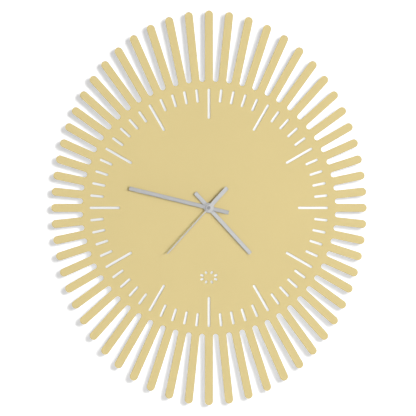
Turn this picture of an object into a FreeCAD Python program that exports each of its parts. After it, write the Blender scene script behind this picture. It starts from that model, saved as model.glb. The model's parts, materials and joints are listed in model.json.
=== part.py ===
import FreeCAD, Part
import math
import os

# Sunburst wall clock with a quartz movement. Sizes are in millimetres.
# Each piece is drawn face-on: X to the right, Y up, Z out from the wall, with the wall at Z = 0 and
# the hands turning about the Z axis. save() stands it up, so that the dial faces -Y and +Z is up.
# A bearing is in degrees clockwise from 12 o'clock, an angle in degrees anticlockwise from +X.

# Front panel
PANEL_WIDTH = 450.0
PANEL_HEIGHT = 563.0
PANEL_THICKNESS = 3.0
RAY_COUNT = 60
RAY_PITCH = 360.0 / RAY_COUNT
RAY_WIDTH = 11.55
GAP_BOTTOM_RADIUS = 180.0
FRONT_CHAMFER = 0.35
SLOT_WIDTH = 3.5
SLOT_OUTER_RADIUS = 170.0
SHORT_SLOT_INNER_RADIUS = 151.0
LONG_SLOT_INNER_RADIUS = 127.0
SHORT_SLOTS_PER_HOUR = 5

# Cut-out ornament below the hands: a small oval ring of radial ticks
MARK_DROP = 99.0
MARK_TICKS = 8
MARK_TICK_WIDTH = 3.0
MARK_INNER_AXES = (8.0, 5.2)
MARK_OUTER_AXES = (13.2, 9.4)

# Layers, as distances out from the wall
CASE_DEPTH = 16.0
BRACKET_THICKNESS = 1.0
GASKET_THICKNESS = 1.0
DISC_THICKNESS = 3.0
DISC_BACK = CASE_DEPTH + BRACKET_THICKNESS + GASKET_THICKNESS
DISC_FRONT = DISC_BACK + DISC_THICKNESS
PANEL_FRONT = DISC_FRONT + PANEL_THICKNESS

# Backing disc and what holds it and the panel off the wall
DISC_RADIUS = 176.0
STUD_CIRCLE_RADIUS = 112.0
STUD_BEARINGS = (45.0, 135.0, 225.0, 315.0)
STUD_RADIUS = 1.5
STUD_CLEARANCE = 0.15
STUD_LENGTH = 9.0
SPACER_RADIUS = 6.0
BUMPER_THICKNESS = 2.0
BUMPER_CHAMFER = 0.4
STUD_HOLE_DEPTH = 8.0

# Hanger bracket: a plate under the gasket that steps back towards the wall above the case
BRACKET_HALF_WIDTH = 15.0
BRACKET_BOTTOM = -15.0
BRACKET_STEP_Y = 30.0
BRACKET_TOP = 52.0
BRACKET_HOOK_Z = 9.0
HANG_HOLE_Y = 41.0
HANG_HOLE_RADIUS = 3.5
BRACKET_CORNER = 6.0

# Threaded bush with its washer and nut
BUSH_RADIUS = 4.0
BUSH_HOLE_CLEARANCE = 0.15
BUSH_FLANGE_RADIUS = 6.0
BUSH_FLANGE_THICKNESS = 1.2
BUSH_FRONT = PANEL_FRONT + 3.0
WASHER_RADIUS = 6.2
WASHER_THICKNESS = 0.5
NUT_ACROSS_FLATS = 11.0
NUT_THICKNESS = 2.0
NUT_CHAMFER = 0.8
NUT_SIDES = 6
THREAD_PITCH = 0.75
THREAD_DEPTH = 0.25
GASKET_HALF_SIDE = 20.0

# Concentric arbors, inside to outside
RUNNING_GAP = 0.05
SECOND_ARBOR_RADIUS = 0.5
MINUTE_PIPE_RADIUS = 1.6
HOUR_PIPE_RADIUS = 2.5

# Hands, by height above the panel and outline
HAND_THICKNESS = 0.7
HAND_CHAMFER = 0.15
HAND_WIDTH = 5.7
HAND_TAIL = 29.0
HUB_RADIUS = 7.4
COLLET_HEIGHT = 0.8
COLLET_WALL = 1.3
HOUR_HAND_BACK = PANEL_FRONT + 4.2
HOUR_PIPE_FRONT = HOUR_HAND_BACK + 1.2
HOUR_HAND_LENGTH = 88.0
HOUR_BEARING = 137.7
MINUTE_HAND_BACK = PANEL_FRONT + 6.6
MINUTE_PIPE_FRONT = MINUTE_HAND_BACK + 2.0
MINUTE_HAND_LENGTH = 117.0
MINUTE_BEARING = 283.8
HAND_NUT_RADIUS = 2.7
HAND_NUT_ACROSS_FLATS = 4.6
HAND_NUT_THICKNESS = 1.0
SECOND_HAND_BACK = PANEL_FRONT + 9.6
SECOND_HAND_THICKNESS = 0.5
SECOND_HAND_LENGTH = 88.5
SECOND_HAND_WIDTH = 1.8
SECOND_TAIL = 39.0
SECOND_TAIL_START = 3.0
SECOND_BOSS_RADIUS = 4.5
SECOND_SOCKET_RADIUS = 1.1
SECOND_SOCKET_DEPTH = 0.7
SECOND_BEARING = 222.2
CAP_RADIUS = 2.6
CAP_HEIGHT = 1.0
CAP_FILLET = 0.5

# Movement case
CASE_HALF = 28.0
CASE_WALL = 1.5
CASE_CORNER = 3.0
CASE_SPLIT = 7.0
CASE_PLATE = 1.0
COVER_PLATE = 1.2
INNER_HALF = CASE_HALF - CASE_WALL
CASE_CEILING = CASE_DEPTH - CASE_PLATE
PARTITION_BOTTOM = -11.5
PARTITION_TOP = -10.5
PARTITION_HALF = 25.8

# AA cell and its contacts
CELL_RADIUS = 7.25
CELL_Y = -19.1
CELL_Z = 7.6
CELL_LENGTH = 49.5
CELL_EDGE = 0.6
NUB_RADIUS = 2.75
NUB_LENGTH = 1.0
CONTACT_THICKNESS = 0.4
CONTACT_GAP = 0.05
CONTACT_HALF = 4.5
CELL_RIGHT = INNER_HALF - CONTACT_THICKNESS - CONTACT_GAP - NUB_LENGTH
CELL_LEFT = CELL_RIGHT - CELL_LENGTH
CONTACT_STRIP = 2.0
SPRING_WIRE = 0.3
SPRING_SMALL_RADIUS = 1.5
SPRING_TURNS = 2.0
SPRING_CONE = math.radians(60.0)
LEAD_RADIUS = 0.3
LEAD_Z = 13.6
LEAD_INSET = 1.0
LEAD_END_Y = 22.2

# Gear tooth form: involute, with a steep pressure angle so that small pinions aren't undercut
PRESSURE_ANGLE = math.radians(30.0)
ADDENDUM = 0.8
DEDENDUM = 1.05
TOOTH_THINNING = 0.12
RIM_MODULES = 2.5
WEB_HOLES = 5
WEB_HOLE_SHARE = 0.36

# Train: teeth of each driver and the wheel it turns
ROTOR_TEETH, STEP_TEETH = 8, 60
STEP_PINION_TEETH, SECOND_TEETH = 15, 60
SECOND_PINION_TEETH, THIRD_TEETH = 8, 64
THIRD_PINION_TEETH, CENTRE_TEETH = 8, 60
CANNON_TEETH, MOTION_TEETH = 14, 42
MOTION_PINION_TEETH, HOUR_TEETH = 12, 48
SETTING_TEETH = 14

ROTOR_MODULE = 0.25
STEP_MODULE = 0.30
THIRD_DISTANCE = 10.8
MOTION_DISTANCE = 10.5
SECOND_MODULE = 2.0 * THIRD_DISTANCE / (SECOND_PINION_TEETH + THIRD_TEETH)
CENTRE_MODULE = 2.0 * THIRD_DISTANCE / (THIRD_PINION_TEETH + CENTRE_TEETH)
CANNON_MODULE = 2.0 * MOTION_DISTANCE / (CANNON_TEETH + MOTION_TEETH)
HOUR_MODULE = 2.0 * MOTION_DISTANCE / (MOTION_PINION_TEETH + HOUR_TEETH)

# Angle from the arbor before it to each arbor; the second, centre and hour wheels share the centre
CENTRE = (0.0, 0.0)
STEP_ANGLE = 150.0
ROTOR_ANGLE = 150.0
THIRD_ANGLE = 0.0
MOTION_ANGLE = 60.0
SETTING_ANGLE = 20.0

# Levels of the train: back of each wheel, out from the wall
WHEEL_THICKNESS = 0.8
PINION_OVERLAP = 0.3
SECOND_WHEEL_Z = 2.0
STEP_WHEEL_Z = 3.4
THIRD_WHEEL_Z = 4.8
CENTRE_WHEEL_Z = 6.4
BRIDGE_Z = 7.9
BRIDGE_THICKNESS = 0.9
MOTION_WHEEL_Z = 9.7
HOUR_WHEEL_Z = 11.4

# Staffs, pivots and hubs of the train
PIVOT_RADIUS = 0.4
PIVOT_DEPTH = 0.6
STAFF_RADIUS = 0.6
STAFF_BACK = SECOND_WHEEL_Z - PINION_OVERLAP
STAFF_FRONT = BRIDGE_Z - RUNNING_GAP
BOSS_RADIUS = 1.3
WHEEL_HUB_RADIUS = 2.0
SECOND_HUB_RADIUS = 1.0
MOTION_HUB_RADIUS = 2.6
MOTION_POST_RADIUS = 0.9
HOUR_HUB_RADIUS = 3.4
HOUR_HUB_HEIGHT = 1.6

# Friction clutch between the centre wheel and the minute pipe
CLUTCH_GAP = 0.05
PIPE_FLANGE_RADIUS = 2.4
PIPE_FLANGE_THICKNESS = 0.3
CLUTCH_LEGS = 3
CLUTCH_COLLAR_RADIUS = 2.3
CLUTCH_REACH = 4.6
CLUTCH_FOOT = 0.6
CLUTCH_LEG_HALF_WIDTH = 0.6
CLUTCH_SHEET = 0.3

# Bridge plate over the train, and the posts and pins that carry it and the other fixed parts
BRIDGE_HALF_WIDTH = 25.5
BRIDGE_BOTTOM = -9.9
BRIDGE_TOP = 17.8
BRIDGE_POSTS = ((-23.5, -8.0), (23.5, -8.0), (23.5, 16.0))
POST_RADIUS = 1.5
PIN_RADIUS = 0.7

# Stepping motor
MAGNET_RADIUS = 3.0
MAGNET_Z = 5.0
MAGNET_HEIGHT = 2.4
STATOR_Z = 5.8
STATOR_THICKNESS = 0.8
STATOR_HOLE_RADIUS = 3.5
STATOR_BAR_HALF = 5.0
STATOR_NOTCH = 5.6
STATOR_NOTCH_RISE = 1.0
CORE_Y = 22.0
CORE_HALF_WIDTH = 1.6
CORE_Z = STATOR_Z + STATOR_THICKNESS
CORE_MIDDLE_Z = CORE_Z + STATOR_THICKNESS / 2.0
CORE_LEFT = -25.5
CORE_RIGHT = 4.0
ARM_WIDTH = 4.0
BOBBIN_LEFT = -20.8
BOBBIN_RIGHT = -0.7
BOBBIN_WALL = 0.5
BOBBIN_FLANGE = 1.0
BOBBIN_HALF = 3.3
WINDING_RADIUS = 3.0

# Circuit board
BOARD_LEFT = 7.0
BOARD_RIGHT = 25.4
BOARD_BOTTOM = 19.4
BOARD_TOP = 26.0
BOARD_Z = 6.0
BOARD_THICKNESS = 0.8
BOARD_FRONT = BOARD_Z + BOARD_THICKNESS
BOARD_POST_INSET = 1.6
CHIP_X = 11.5
CHIP_Y = 23.4
CHIP_RADIUS = 2.0
CHIP_HEIGHT = 0.9
CRYSTAL_RADIUS = 1.0
CRYSTAL_LENGTH = 6.0
CRYSTAL_EDGE = 0.25
CRYSTAL_X = 15.5
CRYSTAL_Y = 24.4

# Time-setting knob, sunk into the back of the case
KNOB_RADIUS = 6.0
KNOB_BACK = 0.3
KNOB_THICKNESS = 2.0
KNOB_RIDGES = 30
KNOB_RIDGE_RADIUS = 0.25
POCKET_RADIUS = 6.8
POCKET_FLOOR = 2.6
POCKET_WALL = 1.2
SETTING_STAFF_RADIUS = 1.2
SETTING_STAFF_FRONT = MOTION_WHEEL_Z + WHEEL_THICKNESS + 2.0 * PINION_OVERLAP

# How far an edge may stray and still count as lying in a plane or along a line
FLAT = 1e-5

ORIGIN = FreeCAD.Vector(0, 0, 0)
X_AXIS = FreeCAD.Vector(1, 0, 0)
Z_AXIS = FreeCAD.Vector(0, 0, 1)


# ---------------------------------------------------------------- basic solids

def vector(x, y, z=0.0):
    return FreeCAD.Vector(x, y, z)


def on_bearing(radius, bearing, centre=(0.0, 0.0)):
    """The (x, y) place at a radius and a clockwise bearing from 12 o'clock."""
    turn = math.radians(bearing)
    return centre[0] + radius * math.sin(turn), centre[1] + radius * math.cos(turn)


def at_angle(radius, angle, centre=(0.0, 0.0)):
    """The (x, y) place at a radius and an anticlockwise angle from +X."""
    turn = math.radians(angle)
    return centre[0] + radius * math.cos(turn), centre[1] + radius * math.sin(turn)


def rod(radius, z0, z1, centre=(0.0, 0.0)):
    return Part.makeCylinder(radius, z1 - z0, vector(centre[0], centre[1], z0), Z_AXIS)


def tube(outer, inner, z0, z1, centre=(0.0, 0.0)):
    return rod(outer, z0, z1, centre).cut(rod(inner, z0, z1, centre))


def block(x0, x1, y0, y1, z0, z1):
    return Part.makeBox(x1 - x0, y1 - y0, z1 - z0, vector(x0, y0, z0))


def fuse(first, *others):
    return first.multiFuse(list(others)).removeSplitter()


def upright_edges(shape):
    """The straight edges that run along Z."""
    return [e for e in shape.Edges if max(e.BoundBox.XLength, e.BoundBox.YLength) < FLAT]


def edges_at(shape, z):
    """The edges that lie in the plane at height z."""
    return [
        e for e in shape.Edges
        if abs(e.BoundBox.ZMin - z) < FLAT and abs(e.BoundBox.ZMax - z) < FLAT
    ]


def rounded_block(x0, x1, y0, y1, z0, z1, corner):
    solid = block(x0, x1, y0, y1, z0, z1)
    return solid.makeFillet(corner, upright_edges(solid))


def extrude(edges, z0, z1):
    """A solid from a closed outline drawn at Z = 0."""
    face = Part.Face(Part.Wire(Part.__sortEdges__(edges)))
    face.translate(vector(0, 0, z0))
    return face.extrude(vector(0, 0, z1 - z0))


def polygon(points, z0, z1):
    corners = [vector(x, y) for x, y in points]
    wire = Part.makePolygon(corners + corners[:1])
    return extrude(wire.Edges, z0, z1)


def rounded_slot(start, end, width, z0, z1):
    """A through-cut with round ends centred half a width inside start and end."""
    a, b = vector(*start), vector(*end)
    along = (b - a).normalize()
    side = vector(-along.y, along.x) * (width / 2.0)
    a += along * (width / 2.0)
    b -= along * (width / 2.0)
    edges = [
        Part.makeLine(a + side, b + side),
        Part.Arc(b + side, b + along * (width / 2.0), b - side).toShape(),
        Part.makeLine(b - side, a - side),
        Part.Arc(a - side, a - along * (width / 2.0), a + side).toShape(),
    ]
    return extrude(edges, z0, z1)


# ---------------------------------------------------------------- gears

def involute(angle):
    return math.tan(angle) - angle


def gear(teeth, module, z0, z1, phase, centre):
    """A spur gear with a tooth centred on the angle phase, in degrees."""
    pitch_radius = teeth * module / 2.0
    base_radius = pitch_radius * math.cos(PRESSURE_ANGLE)
    tip_radius = pitch_radius + ADDENDUM * module
    root_radius = pitch_radius - DEDENDUM * module
    flank_start = max(base_radius, root_radius)
    pitch_half = math.pi / (2.0 * teeth) - TOOTH_THINNING * module / (2.0 * pitch_radius)

    def half_angle(radius):
        pressure = math.acos(min(1.0, base_radius / radius))
        return pitch_half + involute(PRESSURE_ANGLE) - involute(pressure)

    def point(radius, turn):
        return vector(centre[0] + radius * math.cos(turn), centre[1] + radius * math.sin(turn))

    middle = (flank_start + tip_radius) / 2.0
    edges = []
    for k in range(teeth):
        turn = math.radians(phase) + 2.0 * math.pi * k / teeth
        start, mid, tip = (half_angle(r) for r in (flank_start, middle, tip_radius))
        flank = ((flank_start, start), (middle, mid), (tip_radius, tip))
        rising = [point(radius, turn - half) for radius, half in flank]
        falling = [point(radius, turn + half) for radius, half in reversed(flank)]
        next_start = turn + 2.0 * math.pi / teeth - start
        edges.append(Part.Arc(*rising).toShape())
        edges.append(Part.Arc(rising[-1], point(tip_radius, turn), falling[0]).toShape())
        edges.append(Part.Arc(*falling).toShape())
        root = [point(root_radius, turn + start), point(root_radius, next_start)]
        if flank_start > root_radius:
            edges.append(Part.makeLine(falling[-1], root[0]))
            edges.append(Part.makeLine(root[1], point(flank_start, next_start)))
        gap_middle = point(root_radius, turn + math.pi / teeth)
        edges.append(Part.Arc(root[0], gap_middle, root[1]).toShape())
    return extrude(edges, z0, z1)


def web_holes(teeth, module, hub_radius, z0, z1, centre):
    """Round lightening holes between a wheel's hub and its rim."""
    rim_radius = teeth * module / 2.0 - RIM_MODULES * module
    hole_radius = WEB_HOLE_SHARE * (rim_radius - hub_radius)
    circle_radius = (rim_radius + hub_radius) / 2.0
    step = 360.0 / WEB_HOLES
    holes = [rod(hole_radius, z0, z1, at_angle(circle_radius, step * k, centre)) for k in range(WEB_HOLES)]
    return Part.makeCompound(holes)


def wheel(teeth, module, z0, phase, centre, hub_radius):
    z1 = z0 + WHEEL_THICKNESS
    disc = gear(teeth, module, z0, z1, phase, centre)
    return disc.cut(web_holes(teeth, module, hub_radius, z0, z1, centre))


def mesh_phase(teeth_a, phase_a, teeth_b, angle):
    """The phase that puts gear B in mesh with gear A, where angle points from A's centre to B's."""
    share = (phase_a - angle) * teeth_a / 360.0
    return angle + 180.0 + (0.5 - share) * 360.0 / teeth_b


def distance(teeth_a, teeth_b, module):
    return (teeth_a + teeth_b) * module / 2.0


# Where each arbor stands, and the phase of each gear, worked out from the one that it meshes with
STEP_AXIS = at_angle(distance(STEP_PINION_TEETH, SECOND_TEETH, STEP_MODULE), STEP_ANGLE)
ROTOR_AXIS = at_angle(distance(ROTOR_TEETH, STEP_TEETH, ROTOR_MODULE), ROTOR_ANGLE, STEP_AXIS)
THIRD_AXIS = at_angle(THIRD_DISTANCE, THIRD_ANGLE)
MOTION_AXIS = at_angle(MOTION_DISTANCE, MOTION_ANGLE)
SETTING_AXIS = at_angle(distance(SETTING_TEETH, MOTION_TEETH, CANNON_MODULE), SETTING_ANGLE, MOTION_AXIS)

STEP_PINION_PHASE = mesh_phase(SECOND_TEETH, 0.0, STEP_PINION_TEETH, STEP_ANGLE)
ROTOR_PHASE = mesh_phase(STEP_TEETH, 0.0, ROTOR_TEETH, ROTOR_ANGLE)
THIRD_PHASE = mesh_phase(SECOND_PINION_TEETH, 0.0, THIRD_TEETH, THIRD_ANGLE)
CENTRE_PHASE = mesh_phase(THIRD_PINION_TEETH, 0.0, CENTRE_TEETH, THIRD_ANGLE + 180.0)
MOTION_PHASE = mesh_phase(CANNON_TEETH, 0.0, MOTION_TEETH, MOTION_ANGLE)
HOUR_PHASE = mesh_phase(MOTION_PINION_TEETH, 0.0, HOUR_TEETH, MOTION_ANGLE + 180.0)
SETTING_PHASE = mesh_phase(MOTION_TEETH, MOTION_PHASE, SETTING_TEETH, SETTING_ANGLE)


# ---------------------------------------------------------------- dial

def tip_centre_radius(bearing):
    """How far out a ray's round tip is centred: the tips lie on an oval."""
    half_width = (PANEL_WIDTH - RAY_WIDTH) / 2.0
    half_height = (PANEL_HEIGHT - RAY_WIDTH) / 2.0
    turn = math.radians(bearing)
    return half_width * half_height / math.hypot(half_height * math.sin(turn), half_width * math.cos(turn))


def sunburst_outline():
    """The rays' sides and round tips, joined by round-bottomed gaps."""
    half_ray = RAY_WIDTH / 2.0
    half_pitch = math.radians(RAY_PITCH / 2.0)
    gap_centre = (GAP_BOTTOM_RADIUS - half_ray) / (1.0 - math.sin(half_pitch))
    base = gap_centre * math.cos(half_pitch)
    edges = []
    for k in range(RAY_COUNT):
        bearing = k * RAY_PITCH
        tip = tip_centre_radius(bearing)
        turn = math.radians(bearing)
        along = vector(math.sin(turn), math.cos(turn))
        side = vector(math.cos(turn), -math.sin(turn)) * half_ray
        edges.append(Part.makeLine(along * base - side, along * tip - side))
        edges.append(Part.Arc(along * tip - side, along * (tip + half_ray), along * tip + side).toShape())
        edges.append(Part.makeLine(along * tip + side, along * base + side))
        next_turn = turn + 2.0 * half_pitch
        next_along = vector(math.sin(next_turn), math.cos(next_turn))
        next_side = vector(math.cos(next_turn), -math.sin(next_turn)) * half_ray
        gap_bottom = vector(*on_bearing(GAP_BOTTOM_RADIUS, bearing + RAY_PITCH / 2.0))
        edges.append(Part.Arc(along * base + side, gap_bottom, next_along * base - next_side).toShape())
    return edges


def tick_slots():
    slots = []
    for k in range(RAY_COUNT):
        inner = SHORT_SLOT_INNER_RADIUS if k % SHORT_SLOTS_PER_HOUR else LONG_SLOT_INNER_RADIUS
        bearing = k * RAY_PITCH
        ends = on_bearing(inner, bearing), on_bearing(SLOT_OUTER_RADIUS, bearing)
        slots.append(rounded_slot(*ends, SLOT_WIDTH, DISC_FRONT, PANEL_FRONT))
    return slots


def mark_slots():
    """Radial ticks between two ovals, at even turns."""
    slots = []
    for k in range(MARK_TICKS):
        turn = math.radians(360.0 * (k + 0.5) / MARK_TICKS)
        ends = [
            (axes[0] * math.sin(turn), axes[1] * math.cos(turn) - MARK_DROP)
            for axes in (MARK_INNER_AXES, MARK_OUTER_AXES)
        ]
        slots.append(rounded_slot(*ends, MARK_TICK_WIDTH, DISC_FRONT, PANEL_FRONT))
    return slots


def front_panel():
    plate = extrude(sunburst_outline(), DISC_FRONT, PANEL_FRONT)
    bore = rod(BUSH_RADIUS + BUSH_HOLE_CLEARANCE, DISC_FRONT, PANEL_FRONT)
    plate = plate.cut(Part.makeCompound(tick_slots() + mark_slots() + [bore]))
    return plate.makeChamfer(FRONT_CHAMFER, edges_at(plate, PANEL_FRONT))


def stud_places():
    return [on_bearing(STUD_CIRCLE_RADIUS, bearing) for bearing in STUD_BEARINGS]


def backing_disc():
    disc = rod(DISC_RADIUS, DISC_BACK, DISC_FRONT)
    holes = [rod(STUD_RADIUS + STUD_CLEARANCE, DISC_BACK, DISC_FRONT, place) for place in stud_places()]
    bore = rod(BUSH_RADIUS + BUSH_HOLE_CLEARANCE, DISC_BACK, DISC_FRONT)
    return disc.cut(Part.makeCompound(holes + [bore]))


def panel_studs():
    back = DISC_FRONT - STUD_LENGTH
    return Part.makeCompound([rod(STUD_RADIUS, back, DISC_FRONT, place) for place in stud_places()])


def wall_spacers():
    """Round standoffs screwed onto the studs, which clamp the disc to the panel."""
    spacers = []
    for place in stud_places():
        spacer = rod(SPACER_RADIUS, BUMPER_THICKNESS, DISC_BACK, place)
        spacer = spacer.cut(rod(STUD_RADIUS, DISC_BACK - STUD_HOLE_DEPTH, DISC_BACK, place))
        spacers.append(spacer)
    return Part.makeCompound(spacers)


def wall_bumpers():
    bumpers = []
    for place in stud_places():
        pad = rod(SPACER_RADIUS, 0.0, BUMPER_THICKNESS, place)
        bumpers.append(pad.makeChamfer(BUMPER_CHAMFER, edges_at(pad, 0.0)))
    return Part.makeCompound(bumpers)


def hanger_bracket():
    half = BRACKET_HALF_WIDTH
    thick = BRACKET_THICKNESS
    front = CASE_DEPTH + thick
    base = block(-half, half, BRACKET_BOTTOM, BRACKET_STEP_Y, CASE_DEPTH, front)
    riser = block(-half, half, BRACKET_STEP_Y - thick, BRACKET_STEP_Y, BRACKET_HOOK_Z, front)
    hook = block(-half, half, BRACKET_STEP_Y - thick, BRACKET_TOP, BRACKET_HOOK_Z, BRACKET_HOOK_Z + thick)
    top_corners = [
        e for e in upright_edges(hook) if abs(e.CenterOfMass.y - BRACKET_TOP) < thick
    ]
    hook = hook.makeFillet(BRACKET_CORNER, top_corners)
    bracket = fuse(base, riser, hook)
    bush_hole = rod(BUSH_RADIUS + BUSH_HOLE_CLEARANCE, CASE_DEPTH, front)
    nail_hole = rod(HANG_HOLE_RADIUS, BRACKET_HOOK_Z, BRACKET_HOOK_Z + thick, (0.0, HANG_HOLE_Y))
    return bracket.cut(Part.makeCompound([bush_hole, nail_hole]))


def rubber_gasket():
    half = GASKET_HALF_SIDE
    back = DISC_BACK - GASKET_THICKNESS
    pad = rounded_block(-half, half, -half, half, back, DISC_BACK, CASE_CORNER)
    return pad.cut(rod(BUSH_RADIUS + BUSH_HOLE_CLEARANCE, back, DISC_BACK))


# ---------------------------------------------------------------- bush and nut

def threaded_bush():
    """A flanged brass bush. Rings stand for its fine thread, which shows in front of the nut."""
    flange = rod(BUSH_FLANGE_RADIUS, CASE_CEILING - BUSH_FLANGE_THICKNESS, CASE_CEILING)
    barrel = rod(BUSH_RADIUS, CASE_CEILING, BUSH_FRONT)
    bush = fuse(flange, barrel)
    grooves = []
    groove_z = PANEL_FRONT + WASHER_THICKNESS + THREAD_PITCH / 2.0
    while groove_z < BUSH_FRONT:
        cutter = rod(BUSH_FLANGE_RADIUS, groove_z - THREAD_DEPTH, groove_z + THREAD_DEPTH)
        waist = Part.makeCone(BUSH_RADIUS, BUSH_RADIUS - THREAD_DEPTH, THREAD_DEPTH,
                              vector(0, 0, groove_z - THREAD_DEPTH))
        flare = Part.makeCone(BUSH_RADIUS - THREAD_DEPTH, BUSH_RADIUS, THREAD_DEPTH,
                              vector(0, 0, groove_z))
        grooves.append(cutter.cut(waist.fuse(flare)))
        groove_z += THREAD_PITCH
    bore = rod(HOUR_PIPE_RADIUS + RUNNING_GAP, CASE_CEILING - BUSH_FLANGE_THICKNESS, BUSH_FRONT)
    return bush.cut(Part.makeCompound(grooves)).cut(bore)


def brass_washer():
    return tube(WASHER_RADIUS, BUSH_RADIUS, PANEL_FRONT, PANEL_FRONT + WASHER_THICKNESS)


def hex_nut():
    """A hexagon whose front corners are turned down by a cone."""
    back = PANEL_FRONT + WASHER_THICKNESS
    front = back + NUT_THICKNESS
    corner_radius = NUT_ACROSS_FLATS / math.sqrt(3.0)
    corners = [at_angle(corner_radius, 360.0 * k / NUT_SIDES) for k in range(NUT_SIDES)]
    prism = polygon(corners, back, front)
    cone = Part.makeCone(corner_radius + NUT_THICKNESS - NUT_CHAMFER, corner_radius - NUT_CHAMFER,
                         NUT_THICKNESS, vector(0, 0, back))
    return prism.common(cone).cut(rod(BUSH_RADIUS, back, front))


# ---------------------------------------------------------------- hands

def bar(bearing, start, end, width, z0, z1):
    """A straight flat bar along a bearing, from one radius to another."""
    side = bearing + 90.0
    half = width / 2.0
    corners = [
        on_bearing(half * sign, side, on_bearing(radius, bearing))
        for radius, sign in ((start, -1), (end, -1), (end, 1), (start, 1))
    ]
    return polygon(corners, z0, z1)


def chamfer_front(hand, z):
    return hand.makeChamfer(HAND_CHAMFER, edges_at(hand, z))


def flat_hand(bearing, length, z0, bore_radius):
    """A square-ended bar with a tail and a round hub."""
    z1 = z0 + HAND_THICKNESS
    arm = bar(bearing, -HAND_TAIL, length, HAND_WIDTH, z0, z1)
    hub = rod(HUB_RADIUS, z0, z1)
    return chamfer_front(fuse(arm, hub).cut(rod(bore_radius, z0, z1)), z1)


def collet(bore_radius, hand_back):
    return tube(bore_radius + COLLET_WALL, bore_radius, hand_back - COLLET_HEIGHT, hand_back)


def second_hand():
    """A thin pointer, a broad tail and a round boss with a socket for the arbor."""
    z0 = SECOND_HAND_BACK
    z1 = z0 + SECOND_HAND_THICKNESS
    pointer = bar(SECOND_BEARING, 0.0, SECOND_HAND_LENGTH, SECOND_HAND_WIDTH, z0, z1)
    tail = bar(SECOND_BEARING, -SECOND_TAIL, -SECOND_TAIL_START, HAND_WIDTH, z0, z1)
    boss = rod(SECOND_BOSS_RADIUS, z0, z1)
    hand = chamfer_front(fuse(pointer, tail, boss), z1)
    hand = fuse(hand, rod(SECOND_SOCKET_RADIUS, z0 - SECOND_SOCKET_DEPTH, z0))
    return hand.cut(rod(SECOND_ARBOR_RADIUS, z0 - SECOND_SOCKET_DEPTH, z1))


def second_cap():
    back = SECOND_HAND_BACK + SECOND_HAND_THICKNESS
    cap = rod(CAP_RADIUS, back, back + CAP_HEIGHT)
    return cap.makeFillet(CAP_FILLET, edges_at(cap, back + CAP_HEIGHT))


def hand_nut():
    """A thin nut with two spanner flats that holds the minute hand on its pipe."""
    back = MINUTE_HAND_BACK + HAND_THICKNESS
    front = back + HAND_NUT_THICKNESS
    nut = tube(HAND_NUT_RADIUS, MINUTE_PIPE_RADIUS, back, front)
    flat_half = HAND_NUT_ACROSS_FLATS / 2.0
    return nut.common(block(-flat_half, flat_half, -HAND_NUT_RADIUS, HAND_NUT_RADIUS, back, front))


# ---------------------------------------------------------------- movement case

def walls(z0, z1):
    """The square case's outer walls and the partition over the battery bay."""
    outer = rounded_block(-CASE_HALF, CASE_HALF, -CASE_HALF, CASE_HALF, z0, z1, CASE_CORNER)
    inner = rounded_block(-INNER_HALF, INNER_HALF, -INNER_HALF, INNER_HALF, z0, z1, CASE_WALL)
    partition = block(-PARTITION_HALF, PARTITION_HALF, PARTITION_BOTTOM, PARTITION_TOP, z0, z1)
    return outer.cut(inner), partition


def coil_posts():
    return [(CORE_LEFT + ARM_WIDTH / 2.0, CORE_Y), (CORE_RIGHT - ARM_WIDTH / 2.0, CORE_Y)]


def board_posts():
    inset = BOARD_POST_INSET
    return [(BOARD_LEFT + inset, BOARD_BOTTOM + inset), (BOARD_RIGHT - inset, BOARD_BOTTOM + inset)]


def movement_case():
    """The dial-side shell: its plate carries the bush, and its walls stop at the split."""
    half = CASE_HALF
    shell, partition = walls(CASE_SPLIT, CASE_CEILING)
    plate = rounded_block(-half, half, -half, half, CASE_CEILING, CASE_DEPTH, CASE_CORNER)
    case = fuse(shell, plate, partition)
    return case.cut(rod(BUSH_RADIUS, CASE_CEILING, CASE_DEPTH))


def pinned_post(place, top, pin_top):
    return [rod(POST_RADIUS, COVER_PLATE, top, place), rod(PIN_RADIUS, top, pin_top, place)]


def rear_cover():
    """The wall-side shell. It is open over the battery bay, and a pocket holds the setting knob."""
    shell, partition = walls(0.0, CASE_SPLIT)
    plate = block(-INNER_HALF, INNER_HALF, PARTITION_BOTTOM, INNER_HALF, 0.0, COVER_PLATE)
    pocket_top = POCKET_FLOOR + POCKET_WALL
    pocket_wall = rod(POCKET_RADIUS + POCKET_WALL, 0.0, pocket_top, SETTING_AXIS)
    boss_front = STAFF_BACK - RUNNING_GAP
    staffs = (CENTRE, STEP_AXIS, THIRD_AXIS, ROTOR_AXIS)
    bosses = [rod(BOSS_RADIUS, COVER_PLATE, boss_front, place) for place in staffs]
    posts = []
    for place in BRIDGE_POSTS:
        posts += pinned_post(place, BRIDGE_Z, BRIDGE_Z + BRIDGE_THICKNESS)
    for place in coil_posts():
        posts += pinned_post(place, STATOR_Z, STATOR_Z + 2.0 * STATOR_THICKNESS)
    for place in board_posts():
        posts += pinned_post(place, BOARD_Z, BOARD_FRONT)
    cover = fuse(shell, plate, partition, pocket_wall, *bosses, *posts)
    pivot_floor = STAFF_BACK - PIVOT_DEPTH - RUNNING_GAP
    pivots = [rod(PIVOT_RADIUS + RUNNING_GAP, pivot_floor, boss_front, place) for place in staffs]
    pocket = rod(POCKET_RADIUS, 0.0, POCKET_FLOOR, SETTING_AXIS)
    knob_bore = rod(SETTING_STAFF_RADIUS + RUNNING_GAP, POCKET_FLOOR, pocket_top, SETTING_AXIS)
    return cover.cut(Part.makeCompound(pivots + [pocket, knob_bore]))


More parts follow.
